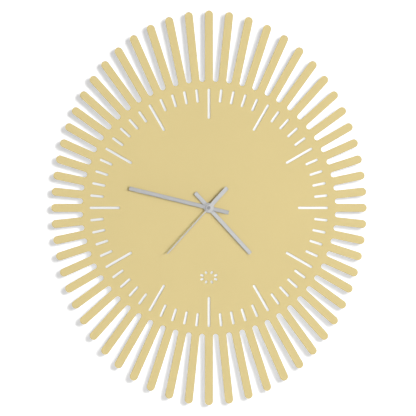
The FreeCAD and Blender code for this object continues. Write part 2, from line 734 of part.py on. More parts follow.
def train_bridge():
    """The plate that holds the front pivots, with the fixed post that the motion wheel turns on."""
    z0 = BRIDGE_Z
    z1 = BRIDGE_Z + BRIDGE_THICKNESS
    half = BRIDGE_HALF_WIDTH
    plate = rounded_block(-half, half, BRIDGE_BOTTOM, BRIDGE_TOP, z0, z1, CASE_WALL)
    post = rod(MOTION_POST_RADIUS, z1, HOUR_WHEEL_Z + WHEEL_THICKNESS + PINION_OVERLAP, MOTION_AXIS)
    bridge = fuse(plate, post)
    holes = [rod(PIVOT_RADIUS + RUNNING_GAP, z0, z1, place) for place in (STEP_AXIS, THIRD_AXIS, ROTOR_AXIS)]
    holes += [rod(PIN_RADIUS, z0, z1, place) for place in BRIDGE_POSTS]
    holes.append(rod(MINUTE_PIPE_RADIUS + RUNNING_GAP, z0, z1))
    holes.append(rod(SETTING_STAFF_RADIUS + RUNNING_GAP, z0, z1, SETTING_AXIS))
    return bridge.cut(Part.makeCompound(holes))


# ---------------------------------------------------------------- stepping motor and circuit

def stator_plate():
    """A U of soft iron: two arms up to the coil core, and a cross bar around the rotor."""
    z0 = STATOR_Z
    z1 = STATOR_Z + STATOR_THICKNESS
    arm_top = CORE_Y + CORE_HALF_WIDTH
    rotor_x, rotor_y = ROTOR_AXIS
    bar_bottom = rotor_y - STATOR_BAR_HALF
    bar_top = rotor_y + STATOR_BAR_HALF
    notch_x = rotor_x + STATOR_NOTCH
    notch_y = rotor_y + STATOR_NOTCH_RISE
    left_arm = CORE_LEFT + ARM_WIDTH
    right_arm = CORE_RIGHT - ARM_WIDTH
    outline = [
        (CORE_LEFT, arm_top), (CORE_LEFT, bar_bottom), (notch_x, bar_bottom), (notch_x, notch_y),
        (CORE_RIGHT, notch_y), (CORE_RIGHT, arm_top), (right_arm, arm_top), (right_arm, bar_top),
        (left_arm, bar_top), (left_arm, arm_top),
    ]
    plate = polygon(outline, z0, z1)
    holes = [rod(STATOR_HOLE_RADIUS, z0, z1, ROTOR_AXIS)]
    holes += [rod(PIN_RADIUS, z0, z1, place) for place in coil_posts()]
    return plate.cut(Part.makeCompound(holes))


def coil_core():
    z1 = CORE_Z + STATOR_THICKNESS
    core = block(CORE_LEFT, CORE_RIGHT, CORE_Y - CORE_HALF_WIDTH, CORE_Y + CORE_HALF_WIDTH, CORE_Z, z1)
    return core.cut(Part.makeCompound([rod(PIN_RADIUS, CORE_Z, z1, place) for place in coil_posts()]))


def core_sleeve(x0, x1, margin):
    """A box around the coil core, larger than it by margin."""
    half_y = CORE_HALF_WIDTH + margin
    half_z = STATOR_THICKNESS / 2.0 + margin
    return block(x0, x1, CORE_Y - half_y, CORE_Y + half_y, CORE_MIDDLE_Z - half_z, CORE_MIDDLE_Z + half_z)


def bobbin_flange(x0):
    x1 = x0 + BOBBIN_FLANGE
    half = BOBBIN_HALF
    return block(x0, x1, CORE_Y - half, CORE_Y + half, CORE_MIDDLE_Z - half, CORE_MIDDLE_Z + half)


def coil_bobbin():
    sleeve = core_sleeve(BOBBIN_LEFT, BOBBIN_RIGHT, BOBBIN_WALL)
    body = fuse(sleeve, bobbin_flange(BOBBIN_LEFT), bobbin_flange(BOBBIN_RIGHT - BOBBIN_FLANGE))
    return body.cut(core_sleeve(BOBBIN_LEFT, BOBBIN_RIGHT, 0.0))


def coil_winding():
    x0 = BOBBIN_LEFT + BOBBIN_FLANGE
    x1 = BOBBIN_RIGHT - BOBBIN_FLANGE
    turns = Part.makeCylinder(WINDING_RADIUS, x1 - x0, vector(x0, CORE_Y, CORE_MIDDLE_Z), X_AXIS)
    return turns.cut(core_sleeve(x0, x1, BOBBIN_WALL))


def circuit_board():
    board = block(BOARD_LEFT, BOARD_RIGHT, BOARD_BOTTOM, BOARD_TOP, BOARD_Z, BOARD_FRONT)
    holes = [rod(PIN_RADIUS, BOARD_Z, BOARD_FRONT, place) for place in board_posts()]
    return board.cut(Part.makeCompound(holes))


def timing_chip():
    """A drop of black resin over the bare chip: the top slice of a sphere whose poles lie sideways."""
    radius = (CHIP_RADIUS ** 2 + CHIP_HEIGHT ** 2) / (2.0 * CHIP_HEIGHT)
    top = BOARD_FRONT + CHIP_HEIGHT
    drop = Part.makeSphere(radius, vector(CHIP_X, CHIP_Y, top - radius), X_AXIS)
    above = block(CHIP_X - radius, CHIP_X + radius, CHIP_Y - radius, CHIP_Y + radius,
                  BOARD_FRONT, top + CHIP_HEIGHT)
    return drop.common(above)


def quartz_crystal():
    middle_z = BOARD_FRONT + CRYSTAL_RADIUS
    can = Part.makeCylinder(CRYSTAL_RADIUS, CRYSTAL_LENGTH, vector(CRYSTAL_X, CRYSTAL_Y, middle_z), X_AXIS)
    ends = [e for e in can.Edges if e.BoundBox.XLength < CRYSTAL_RADIUS]
    return can.makeFillet(CRYSTAL_EDGE, ends)


# ---------------------------------------------------------------- battery and contacts

def battery_cell():
    can = Part.makeCylinder(CELL_RADIUS, CELL_LENGTH, vector(CELL_LEFT, CELL_Y, CELL_Z), X_AXIS)
    can = can.makeFillet(CELL_EDGE, [e for e in can.Edges if e.BoundBox.XLength < CELL_EDGE])
    nub = Part.makeCylinder(NUB_RADIUS, NUB_LENGTH, vector(CELL_RIGHT, CELL_Y, CELL_Z), X_AXIS)
    return fuse(can, nub)


def positive_contact():
    """A blade at the bay's right end, with a strip and a tab up to the circuit board."""
    x0 = INNER_HALF - CONTACT_THICKNESS
    blade = block(x0, INNER_HALF, CELL_Y - CONTACT_HALF, CELL_Y + CONTACT_HALF,
                  CELL_Z - CONTACT_HALF, CELL_Z + CONTACT_HALF)
    strip_top = BOARD_TOP - LEAD_INSET
    strip = block(x0, INNER_HALF, CELL_Y, strip_top, BOARD_FRONT, BOARD_FRONT + CONTACT_STRIP)
    tab = block(BOARD_RIGHT - CONTACT_STRIP, INNER_HALF, strip_top - CONTACT_STRIP, strip_top,
                BOARD_FRONT, BOARD_FRONT + CONTACT_THICKNESS)
    return fuse(blade, strip, tab)


def negative_contact():
    """A blade at the bay's left end, with a strip past the partition to the lead wire."""
    x1 = -INNER_HALF + CONTACT_THICKNESS
    blade = block(-INNER_HALF, x1, CELL_Y - CONTACT_HALF, CELL_Y + CONTACT_HALF,
                  CELL_Z - CONTACT_HALF, CELL_Z + CONTACT_HALF)
    strip_top = PARTITION_TOP + 2.0 * LEAD_INSET
    strip = block(-INNER_HALF, x1, CELL_Y, strip_top, CELL_Z + CONTACT_STRIP, LEAD_Z + LEAD_RADIUS)
    return fuse(blade, strip)


def contact_spring():
    """A conical spring, shown as it sits when the cell presses on its small end."""
    small_end_x = CELL_LEFT - CONTACT_GAP - SPRING_WIRE
    large_end_x = -INNER_HALF + CONTACT_THICKNESS + SPRING_WIRE
    slant = (small_end_x - large_end_x) / math.cos(SPRING_CONE)
    helix = Part.makeHelix(slant / SPRING_TURNS, slant, SPRING_SMALL_RADIUS, math.degrees(SPRING_CONE))
    wire_end = Part.makeCircle(SPRING_WIRE, vector(SPRING_SMALL_RADIUS, 0, 0), vector(0, 1, 0))
    spring = Part.Wire(helix).makePipeShell([Part.Wire(wire_end)], True, True)
    spring.rotate(ORIGIN, vector(0, 1, 0), -90.0)
    spring.translate(vector(small_end_x, CELL_Y, CELL_Z))
    return spring


def lead_wire():
    """A wire from the negative contact along the partition and up to the circuit board.

    The poles of each bend's ball point into the two runs, which keeps them off its surface.
    """
    low_y = PARTITION_TOP + LEAD_INSET
    right_x = BOARD_RIGHT - LEAD_INSET
    corners = [
        vector(-INNER_HALF + CONTACT_THICKNESS, low_y, LEAD_Z),
        vector(right_x, low_y, LEAD_Z),
        vector(right_x, LEAD_END_Y, LEAD_Z),
        vector(right_x, LEAD_END_Y, BOARD_FRONT),
    ]
    runs = []
    for start, end in zip(corners, corners[1:]):
        runs.append(Part.makeCylinder(LEAD_RADIUS, (end - start).Length, start, end - start))
    bends = []
    for before, corner, after in zip(corners, corners[1:], corners[2:]):
        bends.append(Part.makeSphere(LEAD_RADIUS, corner, after - before))
    return fuse(runs[0], *runs[1:], *bends)


# ---------------------------------------------------------------- wheels

def staffed(centre, z0, z1, body):
    """A moulded wheel with a staff, and a pivot at each end of it."""
    staff = rod(STAFF_RADIUS, z0, z1, centre)
    rear_pivot = rod(PIVOT_RADIUS, z0 - PIVOT_DEPTH, z0, centre)
    front_pivot = rod(PIVOT_RADIUS, z1, z1 + PIVOT_DEPTH, centre)
    return fuse(body[0], *body[1:], staff, rear_pivot, front_pivot)


def rotor_pinion():
    front = STEP_WHEEL_Z + WHEEL_THICKNESS + PINION_OVERLAP
    pinion = gear(ROTOR_TEETH, ROTOR_MODULE, STEP_WHEEL_Z - PINION_OVERLAP, front, ROTOR_PHASE, ROTOR_AXIS)
    return staffed(ROTOR_AXIS, STAFF_BACK, STAFF_FRONT, [pinion])


def rotor_magnet():
    return tube(MAGNET_RADIUS, STAFF_RADIUS, MAGNET_Z, MAGNET_Z + MAGNET_HEIGHT, ROTOR_AXIS)


def step_wheel():
    pinion = gear(STEP_PINION_TEETH, STEP_MODULE, STAFF_BACK, STEP_WHEEL_Z, STEP_PINION_PHASE, STEP_AXIS)
    hub_radius = STEP_PINION_TEETH * STEP_MODULE / 2.0
    disc = wheel(STEP_TEETH, ROTOR_MODULE, STEP_WHEEL_Z, 0.0, STEP_AXIS, hub_radius)
    return staffed(STEP_AXIS, STAFF_BACK, STAFF_FRONT, [pinion, disc])


def second_wheel():
    """The wheel and its pinion, one moulding pressed onto the second arbor."""
    disc = wheel(SECOND_TEETH, STEP_MODULE, SECOND_WHEEL_Z, 0.0, CENTRE, WHEEL_HUB_RADIUS)
    hub_front = THIRD_WHEEL_Z - PINION_OVERLAP
    pinion_front = THIRD_WHEEL_Z + WHEEL_THICKNESS + PINION_OVERLAP
    hub = rod(SECOND_HUB_RADIUS, SECOND_WHEEL_Z + WHEEL_THICKNESS, hub_front)
    pinion = gear(SECOND_PINION_TEETH, SECOND_MODULE, hub_front, pinion_front, 0.0, CENTRE)
    return fuse(disc, hub, pinion).cut(rod(SECOND_ARBOR_RADIUS, SECOND_WHEEL_Z, pinion_front))


def second_arbor():
    arbor_front = SECOND_HAND_BACK + SECOND_HAND_THICKNESS
    arbor = rod(SECOND_ARBOR_RADIUS, STAFF_BACK, arbor_front)
    return fuse(arbor, rod(PIVOT_RADIUS, STAFF_BACK - PIVOT_DEPTH, STAFF_BACK))


def third_wheel():
    disc = wheel(THIRD_TEETH, SECOND_MODULE, THIRD_WHEEL_Z, THIRD_PHASE, THIRD_AXIS, WHEEL_HUB_RADIUS)
    back = THIRD_WHEEL_Z + WHEEL_THICKNESS
    front = CENTRE_WHEEL_Z + WHEEL_THICKNESS + PINION_OVERLAP
    pinion = gear(THIRD_PINION_TEETH, CENTRE_MODULE, back, front, 0.0, THIRD_AXIS)
    return staffed(THIRD_AXIS, STAFF_BACK, STAFF_FRONT, [disc, pinion])


def centre_wheel():
    disc = wheel(CENTRE_TEETH, CENTRE_MODULE, CENTRE_WHEEL_Z, CENTRE_PHASE, CENTRE, PIPE_FLANGE_RADIUS)
    front = CENTRE_WHEEL_Z + WHEEL_THICKNESS
    return disc.cut(rod(MINUTE_PIPE_RADIUS + RUNNING_GAP, CENTRE_WHEEL_Z, front))


def minute_pipe():
    """The cannon pinion on its long pipe. The centre wheel sits against the rear flange."""
    flange_front = CENTRE_WHEEL_Z - CLUTCH_GAP
    flange_back = flange_front - PIPE_FLANGE_THICKNESS
    flange = rod(PIPE_FLANGE_RADIUS, flange_back, flange_front)
    pinion = gear(CANNON_TEETH, CANNON_MODULE, MOTION_WHEEL_Z - PINION_OVERLAP,
                  MOTION_WHEEL_Z + WHEEL_THICKNESS + PINION_OVERLAP, 0.0, CENTRE)
    pipe = rod(MINUTE_PIPE_RADIUS, flange_back, MINUTE_PIPE_FRONT)
    bore = rod(SECOND_ARBOR_RADIUS + RUNNING_GAP, flange_back, MINUTE_PIPE_FRONT)
    return fuse(flange, pinion, pipe).cut(bore)


def clutch_spring():
    """A dished three-legged washer that presses the centre wheel against the flange."""
    back = CENTRE_WHEEL_Z + WHEEL_THICKNESS + CLUTCH_GAP
    front = BRIDGE_Z - CLUTCH_GAP
    sheet_back = front - CLUTCH_SHEET
    half = CLUTCH_LEG_HALF_WIDTH
    collar = tube(CLUTCH_COLLAR_RADIUS, MINUTE_PIPE_RADIUS, sheet_back, front)
    legs = []
    for k in range(CLUTCH_LEGS):
        leg = block(MINUTE_PIPE_RADIUS + CLUTCH_SHEET, CLUTCH_REACH, -half, half, sheet_back, front)
        foot = block(CLUTCH_REACH - CLUTCH_FOOT, CLUTCH_REACH, -half, half, back, front)
        for piece in (leg, foot):
            piece.rotate(ORIGIN, Z_AXIS, 360.0 * k / CLUTCH_LEGS)
            legs.append(piece)
    return fuse(collar, *legs)


def motion_wheel():
    """Turns on the bridge's fixed post, and carries the minute motion on to the hour wheel."""
    disc = wheel(MOTION_TEETH, CANNON_MODULE, MOTION_WHEEL_Z, MOTION_PHASE, MOTION_AXIS, MOTION_HUB_RADIUS)
    back = MOTION_WHEEL_Z + WHEEL_THICKNESS
    front = HOUR_WHEEL_Z + WHEEL_THICKNESS + PINION_OVERLAP
    pinion = gear(MOTION_PINION_TEETH, HOUR_MODULE, back, front, 0.0, MOTION_AXIS)
    bore = rod(MOTION_POST_RADIUS + RUNNING_GAP, MOTION_WHEEL_Z, front, MOTION_AXIS)
    return fuse(disc, pinion).cut(bore)


def hour_wheel():
    """The hour wheel on its pipe, which turns in the threaded bush."""
    disc = wheel(HOUR_TEETH, HOUR_MODULE, HOUR_WHEEL_Z, HOUR_PHASE, CENTRE, HOUR_HUB_RADIUS)
    hub = rod(HOUR_HUB_RADIUS, HOUR_WHEEL_Z, HOUR_WHEEL_Z + HOUR_HUB_HEIGHT)
    pipe = rod(HOUR_PIPE_RADIUS, HOUR_WHEEL_Z, HOUR_PIPE_FRONT)
    return fuse(disc, hub, pipe).cut(rod(MINUTE_PIPE_RADIUS + RUNNING_GAP, HOUR_WHEEL_Z, HOUR_PIPE_FRONT))


def setting_knob():
    """A ridged thumb wheel on a long staff."""
    front = KNOB_BACK + KNOB_THICKNESS
    disc = rod(KNOB_RADIUS, KNOB_BACK, front, SETTING_AXIS)
    places = [at_angle(KNOB_RADIUS, 360.0 * k / KNOB_RIDGES, SETTING_AXIS) for k in range(KNOB_RIDGES)]
    ridges = [rod(KNOB_RIDGE_RADIUS, KNOB_BACK, front, place) for place in places]
    staff = rod(SETTING_STAFF_RADIUS, front, SETTING_STAFF_FRONT, SETTING_AXIS)
    return fuse(disc, staff, *ridges)


def setting_pinion():
    z0 = MOTION_WHEEL_Z - PINION_OVERLAP
    z1 = MOTION_WHEEL_Z + WHEEL_THICKNESS + PINION_OVERLAP
    pinion = gear(SETTING_TEETH, CANNON_MODULE, z0, z1, SETTING_PHASE, SETTING_AXIS)
    return pinion.cut(rod(SETTING_STAFF_RADIUS, z0, z1, SETTING_AXIS))


# ---------------------------------------------------------------- all pieces

def pieces():
    """Every node's name with its shape."""
    return {
        "front_panel": front_panel(),
        "backing_disc": backing_disc(),
        "panel_studs": panel_studs(),
        "wall_spacers": wall_spacers(),
        "wall_bumpers": wall_bumpers(),
        "hanger_bracket": hanger_bracket(),
        "rubber_gasket": rubber_gasket(),
        "threaded_bush": threaded_bush(),
        "brass_washer": brass_washer(),
        "hex_nut": hex_nut(),
        "hour_hand": flat_hand(HOUR_BEARING, HOUR_HAND_LENGTH, HOUR_HAND_BACK, HOUR_PIPE_RADIUS),
        "hour_collet": collet(HOUR_PIPE_RADIUS, HOUR_HAND_BACK),
        "minute_hand": flat_hand(MINUTE_BEARING, MINUTE_HAND_LENGTH, MINUTE_HAND_BACK, MINUTE_PIPE_RADIUS),
        "minute_collet": collet(MINUTE_PIPE_RADIUS, MINUTE_HAND_BACK),
        "hand_nut": hand_nut(),
        "second_hand": second_hand(),
        "second_cap": second_cap(),
        "movement_case": movement_case(),
        "rear_cover": rear_cover(),
        "train_bridge": train_bridge(),
        "stator_plate": stator_plate(),
        "coil_core": coil_core(),
        "coil_bobbin": coil_bobbin(),
        "coil_winding": coil_winding(),
        "circuit_board": circuit_board(),
        "timing_chip": timing_chip(),
        "quartz_crystal": quartz_crystal(),
        "battery_cell": battery_cell(),
        "positive_contact": positive_contact(),
        "negative_contact": negative_contact(),
        "contact_spring": contact_spring(),
        "lead_wire": lead_wire(),
        "rotor_pinion": rotor_pinion(),
        "rotor_magnet": rotor_magnet(),
        "step_wheel": step_wheel(),
        "second_wheel": second_wheel(),
        "second_arbor": second_arbor(),
        "third_wheel": third_wheel(),
        "centre_wheel": centre_wheel(),
        "minute_pipe": minute_pipe(),
        "clutch_spring": clutch_spring(),
        "motion_wheel": motion_wheel(),
        "hour_wheel": hour_wheel(),
        "setting_knob": setting_knob(),
        "setting_pinion": setting_pinion(),
    }


def save(name, shape):
    """Stands a face-on shape up and writes it as one node."""
    shape.rotated(ORIGIN, X_AXIS, 90.0).exportStep(os.path.join("parts", name + ".step"))


os.makedirs("parts", exist_ok=True)
for node, solid in pieces().items():
    save(node, solid)
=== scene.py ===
import json
import math

import bmesh
import bpy
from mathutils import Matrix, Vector


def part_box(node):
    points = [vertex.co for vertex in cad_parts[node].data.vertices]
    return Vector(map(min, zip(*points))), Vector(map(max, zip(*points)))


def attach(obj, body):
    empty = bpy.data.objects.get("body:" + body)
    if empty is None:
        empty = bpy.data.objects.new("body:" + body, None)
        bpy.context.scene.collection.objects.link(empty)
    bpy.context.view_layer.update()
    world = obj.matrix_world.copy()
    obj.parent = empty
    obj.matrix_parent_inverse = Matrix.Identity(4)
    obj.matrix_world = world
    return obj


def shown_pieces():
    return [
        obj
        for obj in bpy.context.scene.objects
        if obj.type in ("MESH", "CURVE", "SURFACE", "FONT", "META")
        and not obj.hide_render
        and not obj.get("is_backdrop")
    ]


# Looks of the sunburst wall clock. Lengths are in metres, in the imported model's frame:
# the dial faces -Y, +Z is up towards 12 o'clock, and the wall is the plane Y = 0.

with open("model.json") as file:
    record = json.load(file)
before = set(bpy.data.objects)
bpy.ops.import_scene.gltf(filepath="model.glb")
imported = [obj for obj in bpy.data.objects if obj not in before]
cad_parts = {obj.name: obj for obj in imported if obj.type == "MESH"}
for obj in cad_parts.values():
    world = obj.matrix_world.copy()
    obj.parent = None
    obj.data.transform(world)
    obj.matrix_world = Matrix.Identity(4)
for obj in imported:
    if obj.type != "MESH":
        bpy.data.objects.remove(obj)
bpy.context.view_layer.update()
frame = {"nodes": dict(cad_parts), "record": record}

MM = 0.001
WHITE = (1.0, 1.0, 1.0, 1.0)

# Camera, straight in front of the dial
CAMERA_DISTANCE = 2.0
VIEW_WIDTH = 0.5933
CAMERA_SHIFT_X = -1.3 * MM
CAMERA_SHIFT_Z = -0.2 * MM

# Studio light. Directions point from the clock to the light
KEY_DIRECTION = (0.43, -1.0, 0.03)
KEY_ANGLE = math.radians(11.0)
KEY_STRENGTH = 1.8
WALL_KEY_DIRECTION = (0.29, -1.0, 0.165)
WALL_KEY_ANGLE = math.radians(12.0)
WALL_KEY_STRENGTH = 2.4
FRONT_ANGLE = math.radians(24.0)
FRONT_STRENGTH = 1.12
DOME_ANGLE = math.radians(150.0)
FRONT_DOME_STRENGTH = 0.24
BACK_DOME_STRENGTH = 2.3
SOFTBOX_DIRECTION = (1.2, 1.0, 0.5)
SKY_DARKEST = 0.55
SKY_BRIGHTEST = 1.00
SKY_SEEN = 0.93
FILL_PLACE = (1.10, -1.10, 0.25)
FILL_SIZE = 0.7
FILL_POWER = 4.6

# White surfaces: their glow evens out the light, and a weaker one falls on other surfaces.
# The backing disc's glow is painted light that lifts the shade in its slots.
# The lacquer throws a neutral grey on what is next to it, as in a cut-out product picture
WALL_WHITE = 0.70
WALL_GLOW = 0.52
WALL_BOUNCE = 0.15
BOARD_PAINTED_GLOW = 0.20
BOUNCE_GREY = (0.43, 0.42, 0.39)

# Backdrop: a wall that curves into a floor
WALL_HALF_WIDTH = 3.0
WALL_TOP = 2.2
FLOOR_DROP = 1.4
FLOOR_DEPTH = 3.5
COVE_RADIUS = 0.5
COVE_STEPS = 12

# Bearings of the hands at rest, in degrees clockwise from 12 o'clock
HOUR_BEARING = 137.7
MINUTE_BEARING = 283.8
SECOND_BEARING = 222.2

# Their finish: how light each arm is (the hands' tones differ as a painted reflection),
# how light every hub is (a painted highlight), the hub's dome and the depth of the brushing
HUB_RADIUS = 7.4 * MM
SECOND_BOSS_RADIUS = 4.5 * MM
# Painted reflection: the three hands are one metal, given different tones for how light falls on each.
HOUR_TONE = 0.355
MINUTE_TONE = 0.30
SECOND_TONE = 0.365
HUB_HIGHLIGHT_TONE = 0.37
HUB_RISE = 0.12 * MM
BRUSHING = 0.004 * MM

# Printed film on the cell: it stops short of the ends, and its second colour starts part way along
CELL_NUB = 1.0 * MM
FILM_INSET = 0.8 * MM
FILM_EDGE = 0.05 * MM
BAND_START = 0.68

# Print on the rear cover: an arc with an arrowhead, and signs for the cell
PRINT_WIDTH = 0.56 * MM
ARROW_RADIUS = 9.0 * MM
ARROW_TAIL = math.radians(-150.0)
ARROW_HEAD = math.radians(-35.0)
ARROW_TIP = math.radians(-18.0)
ARROW_HEAD_HALF = 1.3 * MM
SIGN_SIZE = 2.8 * MM
SIGN_INSET = 3.4 * MM

# Snap latches on the sides of the movement case: how far they stand out, by distance from the wall
LATCH_WIDTH = 5.0 * MM
LATCH_HEIGHTS = (15.0 * MM, -15.0 * MM)
LATCH_PROFILE = ((0.0, 4.2), (0.6, 4.8), (0.6, 9.6), (1.1, 10.4), (1.1, 11.4), (0.0, 12.6))

# Push-on washers that hold the spacers to their studs
WASHER_TEETH = 12
WASHER_BORE = 6.1 * MM
WASHER_RADIUS = 9.2 * MM
WASHER_NOTCH = 8.0 * MM
WASHER_THICKNESS = 0.5 * MM
WASHER_DISH = 0.5 * MM
SPACER_RADIUS = 6.0 * MM
EDGE_ROUNDING = 0.12 * MM


# ---------------------------------------------------------------- node materials

# Where a Mix node keeps its two colours and their blend
MIX_COLOUR_INPUTS = (6, 7)
MIX_COLOUR_OUTPUT = 2


class Graph:
    """Shader nodes while they are put together."""

    def __init__(self, tree):
        self.tree = tree

    def add(self, kind, inputs=(), **settings):
        node = self.tree.nodes.new(kind)
        for key, value in settings.items():
            setattr(node, key, value)
        for key, value in dict(inputs).items():
            self.feed(node.inputs[key], value)
        return node

    def feed(self, socket, value):
        if isinstance(value, bpy.types.NodeSocket):
            self.tree.links.new(value, socket)
        else:
            socket.default_value = value

    def math(self, operation, a, b=0.0):
        return self.add("ShaderNodeMath", {0: a, 1: b}, operation=operation).outputs[0]

    def map(self, value, start, end, low=0.0, high=1.0):
        """Low below start and high above end, with a smooth change between them."""
        inputs = {"Value": value, "From Min": start, "From Max": end, "To Min": low, "To Max": high}
        return self.add("ShaderNodeMapRange", inputs, interpolation_type="SMOOTHSTEP").outputs[0]

    def spread(self, value, low, high):
        """Maps 0..1 to low..high."""
        return self.add("ShaderNodeMapRange", {"Value": value, "To Min": low, "To Max": high}).outputs[0]


class Recipe(Graph):
    """A node material while it is put together."""

    def __init__(self, name):
        self.material = bpy.data.materials.new(name)
        self.material.use_nodes = True
        super().__init__(self.material.node_tree)
        self.surface = self.tree.nodes["Principled BSDF"]
        self.output = self.tree.nodes["Material Output"]
        self.place = self.add("ShaderNodeTexCoord").outputs["Object"]

    def set(self, **values):
        """Feeds the surface's inputs: Base_Color is written for Base Color."""
        for key, value in values.items():
            self.feed(self.surface.inputs[key.replace("_", " ")], value)

    def axis(self, index):
        return self.add("ShaderNodeSeparateXYZ", {0: self.place}).outputs[index]

    def radius(self, x=0.0, z=0.0):
        """Distance from the line through that point, square to the dial."""
        across = self.math("POWER", self.math("SUBTRACT", self.axis(0), x), 2.0)
        up = self.math("POWER", self.math("SUBTRACT", self.axis(2), z), 2.0)
        return self.math("SQRT", self.math("ADD", across, up))

    def turned(self, bearing=0.0, stretch=(1.0, 1.0, 1.0)):
        """Coordinates turned about the hands' axis, so that local Z runs along a bearing."""
        turn = self.add("ShaderNodeMapping", {"Vector": self.place,
                                              "Rotation": (0.0, -math.radians(bearing), 0.0)})
        return self.add("ShaderNodeMapping", {"Vector": turn.outputs[0], "Scale": stretch}).outputs[0]

    def noise(self, size, detail=2.0, where=None):
        """Smooth noise from 0 to 1 whose lumps are about size across."""
        inputs = {"Vector": where or self.place, "Scale": 1.0 / size, "Detail": detail}
        return self.add("ShaderNodeTexNoise", inputs).outputs[0]

    def cells(self, size, output="Distance", where=None):
        inputs = {"Vector": where or self.place, "Scale": 1.0 / size}
        return self.add("ShaderNodeTexVoronoi", inputs).outputs[output]

    def blend(self, factor, low, high):
        """A colour between two, each given as red, green, blue or as a socket."""
        node = self.add("ShaderNodeMix", {"Factor": factor}, data_type="RGBA")
        for index, colour in zip(MIX_COLOUR_INPUTS, (low, high)):
            given = isinstance(colour, bpy.types.NodeSocket)
            self.feed(node.inputs[index], colour if given else (*colour, 1.0))
        return node.outputs[MIX_COLOUR_OUTPUT]

    def bounced(self):
        """1 where the surface is only seen by light that bounces off another one."""
        return self.add("ShaderNodeLightPath").outputs["Is Diffuse Ray"]

    def relief(self, height, depth, rounding=0.0):
        """Bumps of that depth on the surface, over edges rounded by that radius."""
        inputs = {"Height": height, "Distance": depth}
        if rounding:
            inputs["Normal"] = self.add("ShaderNodeBevel", {"Radius": rounding}, samples=4).outputs[0]
        self.set(Normal=self.add("ShaderNodeBump", inputs).outputs[0])


def tinted(colour, factor):
    return tuple(min(1.0, channel * factor) for channel in colour)


def lacquer():
    """Pale yellow satin lacquer, sprayed: soft clouds, fine specks and a faint orange peel."""
    m = Recipe("lacquer")
    colour = (0.573, 0.460, 0.194)
    clouds = m.noise(90 * MM, 3.0)
    specks = m.noise(0.7 * MM, 1.0)
    base = m.blend(clouds, tinted(colour, 0.975), tinted(colour, 1.025))
    flecked = m.blend(m.spread(specks, 0.0, 0.05), base, (1.0, 0.98, 0.86))
    m.set(Base_Color=m.blend(m.bounced(), flecked, BOUNCE_GREY))
    m.set(Roughness=m.spread(m.noise(14 * MM), 0.44, 0.54), Coat_Weight=0.05, Coat_Roughness=0.35)
    m.set(Specular_IOR_Level=0.3)
    m.relief(m.noise(1.8 * MM, 1.0), 0.015 * MM, 0.25 * MM)
    return m.material


def white_board():
    """A matt white coated board with a faint paper grain; painted shade makes it a little greyer towards 9
    o'clock, and a painted glow lifts the shade in its slots.
    """
    m = Recipe("white_board")
    grain = m.noise(0.9 * MM, 4.0)
    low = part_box("backing_disc")[0]
    # Painted shade: the board is made greyer towards 9 o'clock, as light falls off across the dial.
    shade = m.blend(m.map(m.axis(0), low.x, 0.0), (0.515, 0.515, 0.515), (0.665, 0.665, 0.665))
    m.set(Base_Color=m.blend(m.spread(grain, 0.0, 0.08), shade, (0.90, 0.90, 0.90)))
    m.set(Roughness=m.spread(m.noise(5 * MM), 0.5, 0.62), Specular_IOR_Level=0.45)
    # Painted light: the board glows, lifting the shade in its slots.
    m.set(Emission_Color=WHITE, Emission_Strength=BOARD_PAINTED_GLOW)
    m.relief(grain, 0.02 * MM, 0.3 * MM)
    return m.material


def hand_metal(name, bearing, tone, hub_radius):
    """Satin silver sheet, brushed along the hand, with a slightly domed hub painted lighter as a painted
    highlight.
    """
    m = Recipe(name)
    along = m.turned(bearing, (1.0, 1.0, 0.02))
    fine = m.noise(0.12 * MM, 3.0, along)
    broad = m.noise(0.9 * MM, 2.0, along)
    streaks = m.math("ADD", m.math("MULTIPLY", fine, 0.6), m.math("MULTIPLY", broad, 0.4))
    # Painted highlight: the hub is painted lighter than the arm; each hand's own tone is a painted
    # reflection.
    tone_with_hub_highlight = m.map(m.radius(), 0.8 * hub_radius, hub_radius, HUB_HIGHLIGHT_TONE, tone)
    m.set(Base_Color=m.math("MULTIPLY", tone_with_hub_highlight, m.spread(streaks, 0.93, 1.07)))
    m.set(Metallic=0.5, Roughness=m.spread(streaks, 0.42, 0.54))
    from_rim = m.math("SUBTRACT", 1.0, m.math("POWER", m.math("DIVIDE", m.radius(), hub_radius), 2.0))
    dome = m.math("MULTIPLY", m.math("MAXIMUM", from_rim, 0.0), HUB_RISE / BRUSHING)
    m.relief(m.math("ADD", streaks, dome), BRUSHING, 0.08 * MM)
    return m.material


def dark_cap():
    """Dark grey satin plastic with a fine moulded skin."""
    m = Recipe("dark_cap")
    skin = m.noise(0.25 * MM, 2.0)
    m.set(Base_Color=m.blend(skin, (0.205, 0.205, 0.21), (0.245, 0.245, 0.25)))
    m.set(Roughness=m.spread(skin, 0.38, 0.5))
    m.relief(skin, 0.004 * MM)
    return m.material


def turned_brass():
    """Brass with the fine rings that turning leaves about the hands' axis."""
    m = Recipe("turned_brass")
    rings = m.add("ShaderNodeTexNoise", {"W": m.math("DIVIDE", m.radius(), 0.12 * MM)},
                  noise_dimensions="1D").outputs[0]
    tarnish = m.noise(3 * MM, 4.0)
    shade = m.blend(m.spread(tarnish, 0.0, 0.7), (0.72, 0.53, 0.23), (0.52, 0.36, 0.15))
    m.set(Base_Color=shade, Metallic=1.0, Roughness=m.spread(rings, 0.2, 0.36))
    m.relief(rings, 0.006 * MM, 0.08 * MM)
    return m.material


def zinc_steel():
    """Zinc-plated steel: cloudy grain, a cool cast and faint rolling lines."""
    m = Recipe("zinc_steel")
    grain = m.cells(2.2 * MM, "Color")
    lines = m.noise(0.5 * MM, 3.0, m.turned(0.0, (1.0, 1.0, 0.03)))
    shade = m.blend(m.spread(grain, 0.0, 1.0), (0.50, 0.52, 0.55), (0.63, 0.65, 0.67))
    m.set(Base_Color=m.blend(m.spread(m.noise(12 * MM, 3.0), 0.0, 0.35), shade, (0.60, 0.58, 0.50)))
    m.set(Metallic=0.95, Roughness=m.spread(lines, 0.28, 0.45))
    m.relief(lines, 0.006 * MM, 0.15 * MM)
    return m.material


